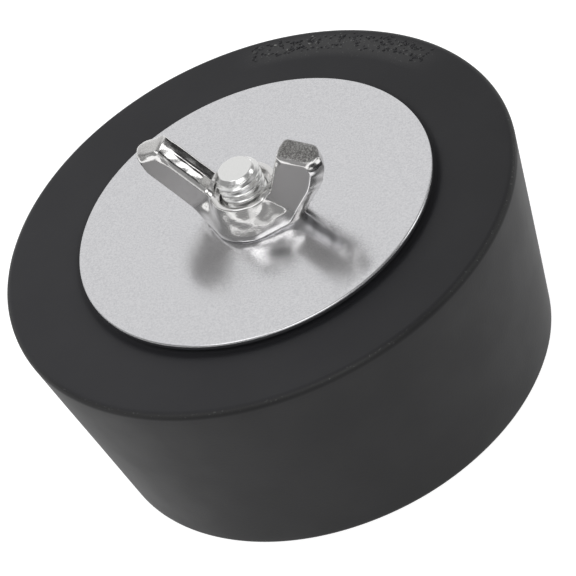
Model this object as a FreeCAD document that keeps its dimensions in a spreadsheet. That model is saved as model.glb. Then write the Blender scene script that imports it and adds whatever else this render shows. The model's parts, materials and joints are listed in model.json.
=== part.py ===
"""Expansion pipe plug: a tapered rubber stopper squeezed between two steel plates by a carriage bolt
and a wing nut. Turning the nut draws the plates together, and the rubber swells against the pipe wall.

The plug stands on its narrow end. The origin is the centre of that end, +Z runs up the bolt, and the
wings of the nut lie along X. Every length is in millimetres.
"""

import FreeCAD, Part

import os
import re

import Sketcher

DOC = FreeCAD.newDocument("expansion_plug")
SHEET = DOC.addObject("Spreadsheet::Sheet", "sizes")

# The driving dimensions: alias, value, what it measures.
DIMENSIONS = [
    ("top_radius", 54.7, "rubber, wide end"),
    ("base_radius", 47.0, "rubber, narrow end"),
    ("body_height", 46.0, "rubber, end to end"),
    ("rim_rounding", 1.4, "rubber, outer edge of the wide end"),
    ("foot_rounding", 1.5, "rubber, outer edge of the narrow end"),
    ("mouth_rounding", 1.0, "rubber, mouth of the recess"),
    ("bore_radius", 5.15, "rubber, hole for the bolt"),
    ("recess_radius", 33.0, "rubber, recess that takes the lower plate"),
    ("recess_depth", 10.3, "rubber, depth of that recess"),
    ("pocket_radius", 7.1, "rubber, pocket round the bolt's square neck"),
    ("pocket_depth", 4.0, "rubber, depth of that pocket"),
    ("upper_plate_radius", 37.7, "upper plate"),
    ("upper_plate_gauge", 1.4, "upper plate, thickness"),
    ("upper_hole_radius", 5.16, "upper plate, 13/32 inch clearance hole"),
    ("lower_plate_radius", 32.0, "lower plate"),
    ("lower_plate_gauge", 1.5, "lower plate, thickness"),
    ("plate_deburr", 0.2, "both plates, broken edge"),
    ("bolt_radius", 4.72, "bolt, 3/8 inch thread with its allowance"),
    ("bolt_length", 50.8, "bolt, 2 inches under the head"),
    ("thread_pitch", 1.5875, "bolt, 16 threads to the inch"),
    ("thread_depth", 0.95, "bolt, crest to root"),
    ("thread_length", 25.4, "bolt, 1 inch of thread"),
    ("thread_crest", 0.2, "bolt, width of the flat on a thread's crest"),
    ("thread_root", 0.3, "bolt, width of the flat between two threads"),
    ("tip_chamfer", 1.2, "bolt, chamfer of the free end"),
    ("head_radius", 10.3, "bolt, round head"),
    ("head_height", 5.0, "bolt, height of the domed head"),
    ("head_edge", 0.8, "bolt, straight edge of the head"),
    ("neck_width", 9.6, "bolt, square neck across its flats"),
    ("neck_height", 5.2, "bolt, height of the neck"),
    ("neck_hole_width", 9.8, "lower plate, square hole for the neck"),
    ("nut_bore_radius", 4.78, "wing nut, plain hole over the crests of the thread"),
    ("nut_countersink", 1.3, "wing nut, countersink at each end of the hole"),
    ("hub_base_radius", 8.95, "wing nut, foot of the hub"),
    ("hub_foot_height", 1.4, "wing nut, upright foot of the hub"),
    ("hub_top_radius", 6.9, "wing nut, top of the hub"),
    ("hub_height", 7.3, "wing nut, height of the hub"),
    ("wing_gauge", 6.0, "wing nut, thickness of a wing"),
    ("wing_root", 6.3, "wing nut, inner end of a wing, inside the hub"),
    ("wing_heel", 10.4, "wing nut, lowest point of a wing, reach"),
    ("wing_heel_height", 0.4, "wing nut, lowest point of a wing, height"),
    ("wing_belly", 14.2, "wing nut, middle of a wing's lower edge, reach"),
    ("wing_belly_height", 4.2, "wing nut, middle of a wing's lower edge, height"),
    ("wing_flank", 19.0, "wing nut, end of that edge, reach"),
    ("wing_flank_height", 10.6, "wing nut, end of that edge, height"),
    ("wing_reach", 20.8, "wing nut, half the spread of the wings"),
    ("wing_reach_height", 16.4, "wing nut, height of a wing's outer corner"),
    ("wing_tip", 14.1, "wing nut, inner end of a wing's top, reach"),
    ("wing_tip_height", 19.8, "wing nut, inner end of a wing's top, height"),
    ("wing_throat", 7.3, "wing nut, inner edge of a wing at the hub, reach"),
    ("wing_throat_height", 7.6, "wing nut, inner edge of a wing at the hub, height"),
    ("wing_corner_rounding", 1.5, "wing nut, rounded corners of a wing"),
    ("wing_edge_rounding", 1.3, "wing nut, rounding round a wing's faces"),
]
ALIASES = re.compile(r"[a-z]\w*")
TOLERANCE = 0.01
RING_SAMPLES = 9
FULL_TURN = 360.0
THREAD_OVERCUT = 0.05


def fill_sheet():
    """Put each driving dimension in the sheet as a plain number with an alias."""
    for row, (alias, value, meaning) in enumerate(DIMENSIONS, start=1):
        SHEET.set(f"A{row}", meaning)
        SHEET.set(f"B{row}", str(value))
        SHEET.setAlias(f"B{row}", alias)
    DOC.recompute()


def bound(expression):
    """An expression of aliases, such as 'body_height - recess_depth', as other objects write it."""
    return ALIASES.sub(lambda word: f"{SHEET.Name}.{word.group()}", expression)


def size(expression):
    """What an expression of aliases comes to."""
    return float(SHEET.evalExpression(expression))


def bind(item, name, expression):
    """Tie a property of an object to an expression of aliases."""
    item.setExpression(name, bound(expression))


def new_body(label):
    """An empty body whose label names its file."""
    body = DOC.addObject("PartDesign::Body", label)
    body.Label = label
    return body


def origin_plane(body, role):
    """One of the body's own origin planes, such as XZ_Plane."""
    return next(plane for plane in body.Origin.OriginFeatures if plane.Role == role)


def new_sketch(body, name, role):
    """A sketch on one of the body's own origin planes."""
    sketch = body.newObject("Sketcher::SketchObject", name)
    sketch.AttachmentSupport = [(origin_plane(body, role), "")]
    sketch.MapMode = "FlatFace"
    return sketch


def pin_point(sketch, line, x, y):
    """Fix the start of a sketch's line at (x, y), each an expression of aliases."""
    for kind, expression, other_axis in (("DistanceX", x, -2), ("DistanceY", y, -1)):
        if expression == "0":
            sketch.addConstraint(Sketcher.Constraint("PointOnObject", line, 1, other_axis))
        else:
            held = Sketcher.Constraint(kind, -1, 1, line, 1, size(expression))
            bind(sketch, f"Constraints[{sketch.addConstraint(held)}]", expression)


def arc_on_axis(start, end):
    """The arc from start to end, anticlockwise, whose centre lies on the upright axis."""
    rise, run = end.y - start.y, end.x - start.x
    middle = (start + end) * 0.5
    centre = FreeCAD.Vector(0, middle.y + middle.x * run / rise, 0)
    circle = Part.Circle(centre, FreeCAD.Vector(0, 0, 1), (start - centre).Length)
    return Part.ArcOfCircle(circle, circle.parameter(start), circle.parameter(end))


def add_outline(sketch, points, arcs=()):
    """A closed outline through points, each a pair of expressions. It is anticlockwise where it has arcs:
    the sides named by number in arcs, whose centres lie on the upright axis."""
    count = len(points)
    corners = [FreeCAD.Vector(size(x), size(y), 0) for x, y in points]
    for side in range(count):
        ends = corners[side], corners[(side + 1) % count]
        sketch.addGeometry(arc_on_axis(*ends) if side in arcs else Part.LineSegment(*ends), False)
    for side in range(count):
        following = (side + 1) % count
        sketch.addConstraint(Sketcher.Constraint("Coincident", side, 2, following, 1))
        pin_point(sketch, side, *points[side])
    for side in arcs:
        sketch.addConstraint(Sketcher.Constraint("PointOnObject", side, 3, -2))


def add_circle(sketch, radius):
    """A circle round the sketch's origin."""
    circle = Part.Circle(FreeCAD.Vector(0, 0, 0), FreeCAD.Vector(0, 0, 1), size(radius))
    ring = sketch.addGeometry(circle, False)
    sketch.addConstraint(Sketcher.Constraint("Coincident", ring, 3, -1, 1))
    held = sketch.addConstraint(Sketcher.Constraint("Radius", ring, size(radius)))
    bind(sketch, f"Constraints[{held}]", radius)


def add_square(sketch, width):
    """A square of that width round the sketch's origin."""
    half = size(width) / 2
    signs = [(1, 1), (-1, 1), (-1, -1), (1, -1)]
    corners = [FreeCAD.Vector(half * x, half * y, 0) for x, y in signs]
    first = sketch.GeometryCount
    sides = [first + i for i in range(4)]
    for i in range(4):
        sketch.addGeometry(Part.LineSegment(corners[i], corners[(i + 1) % 4]), False)
    for i in range(4):
        sketch.addConstraint(Sketcher.Constraint("Coincident", sides[i], 2, sides[(i + 1) % 4], 1))
        sketch.addConstraint(Sketcher.Constraint("Vertical" if i % 2 else "Horizontal", sides[i]))
    sketch.addConstraint(Sketcher.Constraint("Symmetric", sides[0], 1, sides[1], 2, -1, 1))
    for side in sides[:2]:
        held = sketch.addConstraint(Sketcher.Constraint("Distance", side, 2 * half))
        bind(sketch, f"Constraints[{held}]", width)


def add_revolution(body, name, points, arcs=()):
    """A solid of revolution about Z, from an outline in the XZ plane."""
    sketch = new_sketch(body, f"{name}_profile", "XZ_Plane")
    add_outline(sketch, points, arcs)
    turned = body.newObject("PartDesign::Revolution", name)
    turned.Profile = sketch
    turned.ReferenceAxis = (sketch, ["V_Axis"])
    turned.Angle = FULL_TURN
    DOC.recompute()


def add_pad(body, name, sketch, length, both_sides=False):
    """A pad of a sketch, along its normal or to both sides of it."""
    pad = body.newObject("PartDesign::Pad", name)
    pad.Profile = sketch
    pad.Midplane = both_sides
    bind(pad, "Length", length)
    DOC.recompute()


def must_cut(body, before, name):
    """Stop if a feature that should have removed material removed none."""
    if body.Shape.Volume > before - TOLERANCE:
        raise RuntimeError(f"{name} cut nothing")


def dress(body, kind, name, amount, wanted):
    """Round or chamfer, by kind, those edges of the body's last feature that wanted picks."""
    base = body.Tip
    numbered = enumerate(base.Shape.Edges, start=1)
    edges = [f"Edge{number}" for number, edge in numbered if wanted(edge)]
    if not edges:
        raise RuntimeError(f"{name} found no edges")
    feature = body.newObject(f"PartDesign::{kind}", name)
    feature.Base = (base, edges)
    bind(feature, "Radius" if kind == "Fillet" else "Size", amount)
    DOC.recompute()


def ring_at(radius, height=None):
    """A test for the circular edges about Z of that radius, in the body's own frame, at one height or any."""
    wanted_radius = size(radius)

    def wanted(edge):
        if edge.Degenerated:
            return False
        points = edge.discretize(RING_SAMPLES)
        fits = all(abs(point.x**2 + point.y**2 - wanted_radius**2) < TOLERANCE for point in points)
        level = all(abs(point.z - points[0].z) < TOLERANCE for point in points)
        return fits and level and (height is None or abs(points[0].z - size(height)) < TOLERANCE)

    return wanted


def make_rubber_body():
    """The stopper: a moulded cone, open along its axis, with a recess below for plate and bolt head."""
    body = new_body("rubber_body")
    pocket_top = "recess_depth + pocket_depth"
    outline = [
        ("bore_radius", "body_height"),
        ("bore_radius", pocket_top),
        ("pocket_radius", pocket_top),
        ("pocket_radius", "recess_depth"),
        ("recess_radius", "recess_depth"),
        ("recess_radius", "0"),
        ("base_radius", "0"),
        ("top_radius", "body_height"),
    ]
    add_revolution(body, "tapered_stopper", outline)
    dress(body, "Fillet", "rim", "rim_rounding", ring_at("top_radius", "body_height"))
    dress(body, "Fillet", "foot", "foot_rounding", ring_at("base_radius", "0"))
    dress(body, "Fillet", "mouth", "mouth_rounding", ring_at("recess_radius", "0"))
    return body


def make_upper_plate():
    """The plate under the nut: a flat disc with a round clearance hole."""
    body = new_body("upper_plate")
    sketch = new_sketch(body, "disc_outline", "XY_Plane")
    add_circle(sketch, "upper_plate_radius")
    add_circle(sketch, "upper_hole_radius")
    add_pad(body, "disc", sketch, "upper_plate_gauge")
    dress(body, "Chamfer", "deburred_rim", "plate_deburr", ring_at("upper_plate_radius"))
    dress(body, "Chamfer", "deburred_hole", "plate_deburr", ring_at("upper_hole_radius"))
    bind(body, "Placement.Base.z", "body_height")
    return body


def make_lower_plate():
    """The plate in the recess: a flat disc whose square hole stops the bolt from turning."""
    body = new_body("lower_plate")
    sketch = new_sketch(body, "disc_outline", "XY_Plane")
    add_circle(sketch, "lower_plate_radius")
    add_square(sketch, "neck_hole_width")
    add_pad(body, "disc", sketch, "lower_plate_gauge")
    dress(body, "Chamfer", "deburred_rim", "plate_deburr", ring_at("lower_plate_radius"))
    bind(body, "Placement.Base.z", "recess_depth - lower_plate_gauge")
    return body


def cut_thread(body):
    """A right-hand groove with sloping sides, from below the thread's start to past the bolt's tip."""
    before = body.Shape.Volume
    sketch = new_sketch(body, "thread_profile", "XZ_Plane")
    slope = (size("thread_pitch - thread_crest - thread_root") / 2) / size("thread_depth")
    half_root = size("thread_root") / 2
    half_mouth = half_root + slope * (size("thread_depth") + THREAD_OVERCUT)
    root = size("bolt_radius - thread_depth")
    mouth = size("bolt_radius") + THREAD_OVERCUT
    start = size("bolt_length - thread_length")
    sides = [(root, -half_root), (mouth, -half_mouth), (mouth, half_mouth), (root, half_root)]
    corners = [FreeCAD.Vector(reach, start + height, 0) for reach, height in sides]
    for i in range(4):
        sketch.addGeometry(Part.LineSegment(corners[i], corners[(i + 1) % 4]), False)
    thread = body.newObject("PartDesign::SubtractiveHelix", "thread")
    thread.Profile = sketch
    thread.ReferenceAxis = (sketch, ["V_Axis"])
    thread.Mode = "pitch-height-angle"
    bind(thread, "Pitch", "thread_pitch")
    bind(thread, "Height", "thread_length + thread_pitch")
    DOC.recompute()
    must_cut(body, before, "thread")


def make_carriage_bolt():
    """The bolt: a domed head, a square neck, and a shank whose upper half is threaded."""
    body = new_body("carriage_bolt")
    outline = [
        ("0", "-head_height"),
        ("head_radius", "-head_edge"),
        ("head_radius", "0"),
        ("bolt_radius", "0"),
        ("bolt_radius", "bolt_length - tip_chamfer"),
        ("bolt_radius - tip_chamfer", "bolt_length"),
        ("0", "bolt_length"),
    ]
    add_revolution(body, "head_and_shank", outline, arcs=(0,))
    neck = new_sketch(body, "neck_outline", "XY_Plane")
    add_square(neck, "neck_width")
    add_pad(body, "square_neck", neck, "neck_height")
    cut_thread(body)
    bind(body, "Placement.Base.z", "recess_depth - lower_plate_gauge")
    return body


def make_wing_nut():
    """The nut: a conical hub with a plain hole over the thread's crests, and two wings along X."""
    body = new_body("wing_nut")
    wing = new_sketch(body, "wing_outline", "XZ_Plane")
    corners = [
        ("wing_root", "wing_heel_height"),
        ("wing_heel", "wing_heel_height"),
        ("wing_belly", "wing_belly_height"),
        ("wing_flank", "wing_flank_height"),
        ("wing_reach", "wing_reach_height"),
        ("wing_tip", "wing_tip_height"),
        ("wing_throat", "wing_throat_height"),
        ("wing_root", "wing_throat_height"),
    ]
    add_outline(wing, corners)
    add_pad(body, "wing", wing, "wing_gauge", both_sides=True)
    half_gauge = size("wing_gauge") / 2
    root, shoulder = size("wing_root"), size("wing_flank_height")

    def outer_corner(edge):
        """The two corners at the end of the wing, which run across its thickness."""
        ends = [vertex.Point for vertex in edge.Vertexes]
        across = abs(ends[0].y - ends[-1].y) > half_gauge
        return across and ends[0].z > shoulder + TOLERANCE

    def face_edge(edge):
        """The outline of the wing's two flat faces, but for its inner end."""
        ends = [vertex.Point for vertex in edge.Vertexes]
        on_face = all(abs(abs(end.y) - half_gauge) < TOLERANCE for end in ends)
        return on_face and max(end.x for end in ends) > root + TOLERANCE

    dress(body, "Fillet", "wing_corners", "wing_corner_rounding", outer_corner)
    dress(body, "Fillet", "wing_edges", "wing_edge_rounding", face_edge)
    hub = [
        ("0", "0"),
        ("hub_base_radius", "0"),
        ("hub_base_radius", "hub_foot_height"),
        ("hub_top_radius", "hub_height"),
        ("0", "hub_height"),
    ]
    add_revolution(body, "hub", hub)
    mirrored = body.newObject("PartDesign::Mirrored", "second_wing")
    mirrored.TransformMode = "Whole shape"
    mirrored.MirrorPlane = (origin_plane(body, "YZ_Plane"), [""])
    body.Tip = mirrored
    DOC.recompute()
    before = body.Shape.Volume
    hole = new_sketch(body, "hole_outline", "XY_Plane")
    add_circle(hole, "nut_bore_radius")
    bore = body.newObject("PartDesign::Pocket", "bore")
    bore.Profile = hole
    bore.Type = "ThroughAll"
    bore.Midplane = True
    DOC.recompute()
    must_cut(body, before, "bore")
    dress(body, "Chamfer", "lower_countersink", "nut_countersink", ring_at("nut_bore_radius", "0"))
    dress(body, "Chamfer", "countersink", "nut_countersink", ring_at("nut_bore_radius", "hub_height"))
    bind(body, "Placement.Base.z", "body_height + upper_plate_gauge")
    return body


def main():
    """Build every sub-part, check them all, and only then write their STEP files."""
    fill_sheet()
    bodies = [
        make_rubber_body(),
        make_upper_plate(),
        make_lower_plate(),
        make_carriage_bolt(),
        make_wing_nut(),
    ]
    DOC.recompute()
    for item in DOC.Objects:
        if "Invalid" in item.State or "Error" in item.State:
            raise RuntimeError(f"{item.Label} failed: {item.State}")
    for body in bodies:
        if body.Shape.isNull() or not body.Shape.isValid() or len(body.Shape.Solids) != 1:
            raise RuntimeError(f"{body.Label} isn't one valid solid")
    os.makedirs("parts", exist_ok=True)
    for body in bodies:
        body.Shape.exportStep(f"parts/{body.Label}.step")
        print(f"{body.Label}: {body.Shape.Volume / 1000:.2f} cm3")


main()
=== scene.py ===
"""The looks of an expansion pipe plug: moulded rubber, two steel plates, a carriage bolt and a wing nut.

Sizes are in millimetres in the part's own frame: +Z up the bolt, the wings along X, and the origin where
the plug stands. Each mesh is turned to metres as it is made, and every object sits at the origin.
"""

from __future__ import annotations

import itertools
import json
import logging
import math
from dataclasses import dataclass
from enum import Enum
from typing import Callable, Sequence

import bpy
import numpy as np
from mathutils import Matrix, Vector

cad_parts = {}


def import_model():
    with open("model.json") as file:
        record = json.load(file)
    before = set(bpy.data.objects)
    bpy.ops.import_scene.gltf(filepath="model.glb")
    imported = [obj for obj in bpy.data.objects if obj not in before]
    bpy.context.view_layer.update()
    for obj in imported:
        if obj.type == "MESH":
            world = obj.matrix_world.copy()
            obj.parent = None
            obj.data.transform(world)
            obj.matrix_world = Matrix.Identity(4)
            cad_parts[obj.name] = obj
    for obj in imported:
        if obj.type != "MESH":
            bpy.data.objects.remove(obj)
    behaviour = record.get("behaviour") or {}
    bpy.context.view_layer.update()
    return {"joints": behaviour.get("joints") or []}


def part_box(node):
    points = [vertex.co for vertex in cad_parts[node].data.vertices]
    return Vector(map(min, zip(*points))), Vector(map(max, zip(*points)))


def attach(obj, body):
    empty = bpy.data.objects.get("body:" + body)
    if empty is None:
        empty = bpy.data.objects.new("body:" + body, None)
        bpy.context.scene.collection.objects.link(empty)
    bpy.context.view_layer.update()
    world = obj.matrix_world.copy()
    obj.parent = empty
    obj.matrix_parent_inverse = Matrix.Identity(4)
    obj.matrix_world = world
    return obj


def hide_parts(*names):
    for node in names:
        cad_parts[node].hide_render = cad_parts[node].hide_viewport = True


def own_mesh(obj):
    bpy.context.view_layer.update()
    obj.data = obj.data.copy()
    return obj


LOG = logging.getLogger("expansion_plug")
MM = 0.001
TURN = 2.0 * math.pi
SMOOTH = {"interpolation_type": "SMOOTHSTEP"}
Field = Callable[[np.ndarray, np.ndarray, np.ndarray], np.ndarray]
Corner = tuple[float, float, float]  # across, up and rounding


# ---------------------------------------------------------------- arithmetic


def smooth_step(low: float, high: float, value: np.ndarray) -> np.ndarray:
    """Rise from 0 at low to 1 at high along 3t^2 - 2t^3, flat at both ends.

    Args:
        low: where the rise starts.
        high: where it ends.
        value: where to read it.

    Returns:
        The height of the rise at each value.
    """
    t = np.clip((value - low) / (high - low), 0.0, 1.0)
    return t * t * (3.0 - 2.0 * t)


def smooth_max(a: np.ndarray, b: np.ndarray, reach: float) -> np.ndarray:
    """The larger of two distances, with the crease between them rounded over reach.

    Within reach of each other, the larger gains the square of what is left of reach over 4 reach.

    Args:
        a: one distance.
        b: the other.
        reach: how far from the crease the rounding starts, in millimetres.

    Returns:
        The rounded maximum.
    """
    near = np.maximum(reach - np.abs(a - b), 0.0)
    return np.maximum(a, b) + near * near / (4.0 * reach)


def smooth_min(a: np.ndarray, b: np.ndarray, reach: float) -> np.ndarray:
    """The smaller of two distances, with the valley between them filled over reach.

    Args:
        a: one distance.
        b: the other.
        reach: how far from the valley the filling starts, in millimetres.

    Returns:
        The filled minimum: the rounded maximum of the two distances turned round.
    """
    return -smooth_max(-a, -b, reach)


def ripple(x: np.ndarray, y: np.ndarray, z: np.ndarray, length: float, seed: int) -> np.ndarray:
    """Gentle irregular waves: the mean of eight sines that run in seeded directions.

    Args:
        x: first coordinate, in millimetres.
        y: second coordinate.
        z: third coordinate.
        length: typical length of a wave, in millimetres.
        seed: which waves.

    Returns:
        Heights between -1 and 1, mostly within 0.5 of 0.
    """
    draw = np.random.default_rng(seed)
    total, sines = 0.0, 8
    for _ in range(sines):
        direction = draw.normal(size=3)
        direction *= TURN / (length * draw.uniform(0.7, 1.5) * np.linalg.norm(direction))
        total = total + np.sin(direction[0] * x + direction[1] * y + direction[2] * z + draw.uniform(0, TURN))
    return total / sines


def rounded_outline(corners: Sequence[Corner], step: float, arc_step: float = 12.0) -> np.ndarray:
    """A closed outline with each corner rounded to an arc that touches both of its sides.

    Args:
        corners: (across, up, rounding) of each corner, in order.
        step: the longest straight stretch between two points.
        arc_step: the most that an arc turns between two points, in degrees.

    Returns:
        Points (n, 2) along the outline, which closes on itself.
    """
    spots = np.array([corner[:2] for corner in corners], float)
    stretches = []
    for i, (_, _, rounding) in enumerate(corners):
        here, before, after = spots[i], spots[i - 1], spots[(i + 1) % len(spots)]
        back = (before - here) / np.linalg.norm(before - here)
        ahead = (after - here) / np.linalg.norm(after - here)
        opening = math.acos(float(np.clip(back @ ahead, -1.0, 1.0)))
        if rounding <= 0.0:
            stretches.append(here[None, :])
            continue
        middle = (back + ahead) / np.linalg.norm(back + ahead)
        centre = here + middle * rounding / math.sin(opening / 2)
        start = here + back * rounding / math.tan(opening / 2) - centre
        end = here + ahead * rounding / math.tan(opening / 2) - centre
        turn = math.atan2(start[0] * end[1] - start[1] * end[0], float(start @ end))
        angles = np.linspace(0.0, turn, 2 + int(abs(math.degrees(turn)) / arc_step))
        wave = np.stack([np.cos(angles), np.sin(angles)], axis=1)
        sideways = np.array([-start[1], start[0]])
        stretches.append(centre + wave[:, :1] * start + wave[:, 1:] * sideways)
    points = []
    for stretch, following in zip(stretches, stretches[1:] + stretches[:1]):
        run = following[0] - stretch[-1]
        count = max(1, math.ceil(float(np.linalg.norm(run)) / step))
        shares = np.arange(1, count)[:, None] / count
        points.append(np.concatenate([stretch, stretch[-1] + shares * run]))
    return np.concatenate(points)


def outline_distance(across: np.ndarray, up: np.ndarray, corners: np.ndarray) -> np.ndarray:
    """Distance to a closed polygon, negative inside it.

    The nearest point of each side is its start plus a share of it, the share being cut to 0..1, and a
    point is inside if a ray from it crosses the sides an odd number of times.

    Args:
        across: first coordinate of the points.
        up: second coordinate.
        corners: the polygon's corners (n, 2).

    Returns:
        The signed distance of each point.
    """
    best = np.full(np.broadcast(across, up).shape, np.inf)
    inside = np.zeros(best.shape, bool)
    for (x0, y0), (x1, y1) in zip(corners, np.roll(corners, -1, axis=0)):
        dx, dy = x1 - x0, y1 - y0
        share = np.clip(((across - x0) * dx + (up - y0) * dy) / (dx * dx + dy * dy), 0.0, 1.0)
        best = np.minimum(best, (across - x0 - share * dx) ** 2 + (up - y0 - share * dy) ** 2)
        if dy != 0.0:
            inside ^= ((y0 > up) != (y1 > up)) & (across < x0 + (up - y0) * dx / dy)
    return np.where(inside, -1.0, 1.0) * np.sqrt(best)


# ---------------------------------------------------------------- meshes


def make_piece(name: str, points: np.ndarray, faces: Sequence, crease: float = 35.0) -> bpy.types.Object:
    """Make an object from points in millimetres, shaded smooth but for its sharp creases.

    Args:
        name: the piece's name.
        points: its vertices (n, 3), in millimetres.
        faces: its faces, as lists or rows of vertex numbers.
        crease: the angle in degrees past which an edge stays sharp.

    Returns:
        The new object, linked to the scene.
    """
    mesh = bpy.data.meshes.new(name)
    rows = [face if isinstance(face, list) else face.tolist() for face in faces]
    mesh.from_pydata((points * MM).tolist(), [], rows)
    mesh.update()
    mesh.shade_smooth()
    mesh.set_sharp_from_angle(angle=math.radians(crease))
    piece = bpy.data.objects.new(name, mesh)
    bpy.context.scene.collection.objects.link(piece)
    return piece


def write_attribute(piece: bpy.types.Object, name: str, values: np.ndarray) -> None:
    """Store one number for each vertex of a piece, for its material to read.

    Args:
        piece: the piece.
        name: the attribute's name.
        values: the numbers, one for each vertex.
    """
    layer = piece.data.attributes.new(name, "FLOAT", "POINT")
    layer.data.foreach_set("value", values.astype(np.float32))


def ring_quads(rows: int, columns: int, closed: bool) -> np.ndarray:
    """Quads of a grid of rings, facing away from an axis that rows climb anticlockwise columns.

    Args:
        rows: the number of rings.
        columns: the number of points in each ring.
        closed: whether the last ring joins the first.

    Returns:
        Vertex numbers (n, 4).
    """
    row = np.arange(rows if closed else rows - 1)[:, None]
    column = np.arange(columns)[None, :]
    here, above, beside = row * columns, (row + 1) % rows * columns, (column + 1) % columns
    corners = [here + column, here + beside, above + beside, above + column]
    return np.stack(np.broadcast_arrays(*corners), axis=-1).reshape(-1, 4)


def cap_triangles(ring: np.ndarray, pole: int) -> np.ndarray:
    """Triangles that close a ring with a pole, facing the way that the ring runs anticlockwise.

    Args:
        ring: the vertex numbers of the ring, in order.
        pole: the vertex number of the pole.

    Returns:
        Vertex numbers (n, 3).
    """
    return np.stack([ring, np.roll(ring, -1), np.full_like(ring, pole)], axis=1)


def ring_points(outline: np.ndarray, columns: int) -> tuple[np.ndarray, np.ndarray, np.ndarray]:
    """Turn an outline about Z.

    Args:
        outline: radius and height of each point (rows, 2).
        columns: how many steps the turn takes.

    Returns:
        Radius, height and azimuth of each point, as grids (rows, columns).
    """
    azimuth = np.linspace(0.0, TURN, columns, endpoint=False)[None, :] + np.zeros((len(outline), 1))
    radius = outline[:, :1] + np.zeros((1, columns))
    height = outline[:, 1:] + np.zeros((1, columns))
    return radius, height, azimuth


def to_space(radius: np.ndarray, height: np.ndarray, azimuth: np.ndarray) -> np.ndarray:
    """Turn cylindrical coordinates to points: radius times the azimuth's cosine and sine, and height.

    Args:
        radius: distance from the axis, in millimetres.
        height: height, in millimetres.
        azimuth: angle round the axis, in radians.

    Returns:
        The points (n, 3).
    """
    return np.stack([radius * np.cos(azimuth), radius * np.sin(azimuth), height], axis=-1).reshape(-1, 3)


def surface_nets(values: np.ndarray, low: np.ndarray, pitch: float) -> tuple[np.ndarray, np.ndarray]:
    """The zero surface of a field on a grid, as quads.

    Each cell that the surface passes through gets one vertex, at the mean of the places where the
    surface cuts the cell's edges. Each grid edge that it cuts gets a quad of the four cells round it.

    Args:
        values: the field at each grid point, negative inside the solid.
        low: the grid's lowest corner.
        pitch: its spacing.

    Returns:
        Vertices (n, 3) and quads (m, 4) facing outwards.
    """
    inside = values < 0.0
    spans = [slice(0, -1), slice(1, None)]
    corners = [inside[spans[i], spans[j], spans[k]] for i, j, k in itertools.product((0, 1), repeat=3)]
    count = np.sum(corners, axis=0)
    active = (count > 0) & (count < 8)
    cells = np.argwhere(active)
    number = np.full(active.shape, -1)
    number[active] = np.arange(len(cells))
    total, cuts = np.zeros(cells.shape), np.zeros((len(cells), 1))
    for axis in range(3):
        others = [a for a in range(3) if a != axis]
        for offsets in itertools.product((0, 1), repeat=2):
            start = cells.copy()
            start[:, others] += offsets
            end = start.copy()
            end[:, axis] += 1
            a, b = values[tuple(start.T)], values[tuple(end.T)]
            cut = (a < 0.0) != (b < 0.0)
            spot = start.astype(float)
            spot[:, axis] += np.where(cut, a / np.where(cut, a - b, 1.0), 0.0)
            total[cut] += spot[cut]
            cuts[cut] += 1
    quads = []
    for axis in range(3):
        u, v = (axis + 1) % 3, (axis + 2) % 3
        near = np.moveaxis(inside, (axis, u, v), (0, 1, 2))
        ids = np.moveaxis(number, (axis, u, v), (0, 1, 2))
        leaving = near[:-1, 1:-1, 1:-1] & ~near[1:, 1:-1, 1:-1]
        entering = ~near[:-1, 1:-1, 1:-1] & near[1:, 1:-1, 1:-1]
        for change, order in ((leaving, (0, 1, 2, 3)), (entering, (3, 2, 1, 0))):
            i, j, k = np.argwhere(change).T
            round_edge = [ids[i, j, k], ids[i, j + 1, k], ids[i, j + 1, k + 1], ids[i, j, k + 1]]
            quads.append(np.stack([round_edge[n] for n in order], axis=1))
    return low + pitch * total / cuts, np.concatenate(quads)


def settle_on(points: np.ndarray, field: Field, rounds: int = 3) -> np.ndarray:
    """Move points onto a field's zero surface by Newton's method.

    Each round moves a point against the field's slope by the field over the slope's length.

    Args:
        points: points (n, 3) near the surface.
        field: the signed distance.
        rounds: how many steps to take.

    Returns:
        The moved points.
    """
    reach, least_slope = 0.02, 0.2
    for _ in range(rounds):
        value = field(*points.T)
        steps = np.eye(3) * reach
        rises = [field(*(points + step).T) - field(*(points - step).T) for step in steps]
        slope = np.stack(rises, axis=1) / (2 * reach)
        points = points - slope * (value / np.maximum((slope**2).sum(axis=1), least_slope))[:, None]
    return points


# ---------------------------------------------------------------- finishes


def linear(colour: str) -> tuple[float, float, float, float]:
    """Turn an sRGB hex colour to the linear colour that shaders take.

    Args:
        colour: the colour, such as #3c3c3d.

    Returns:
        Red, green, blue and an alpha of 1.
    """
    shares = [int(colour[i : i + 2], 16) / 255.0 for i in (1, 3, 5)]
    straight = [c / 12.92 if c <= 0.04045 else ((c + 0.055) / 1.055) ** 2.4 for c in shares]
    return straight[0], straight[1], straight[2], 1.0


def add_node(tree: bpy.types.NodeTree, kind: str, settings: dict | None = None, **inputs) -> bpy.types.Node:
    """Add a node, set it up and link it.

    Args:
        tree: the node tree.
        kind: the node's type, such as ShaderNodeMath.
        settings: its properties, and under a number its input of that number.
        **inputs: its inputs by name, with _ for a space: a value, or the output socket to link.

    Returns:
        The new node.
    """
    node = tree.nodes.new(kind)
    places = {name.replace("_", " "): value for name, value in inputs.items()}
    for name, value in (settings or {}).items():
        if isinstance(name, int):
            places[name] = value
        else:
            setattr(node, name, value)
    for place, value in places.items():
        if isinstance(value, bpy.types.NodeSocket):
            tree.links.new(value, node.inputs[place])
        else:
            node.inputs[place].default_value = value
    return node


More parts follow.
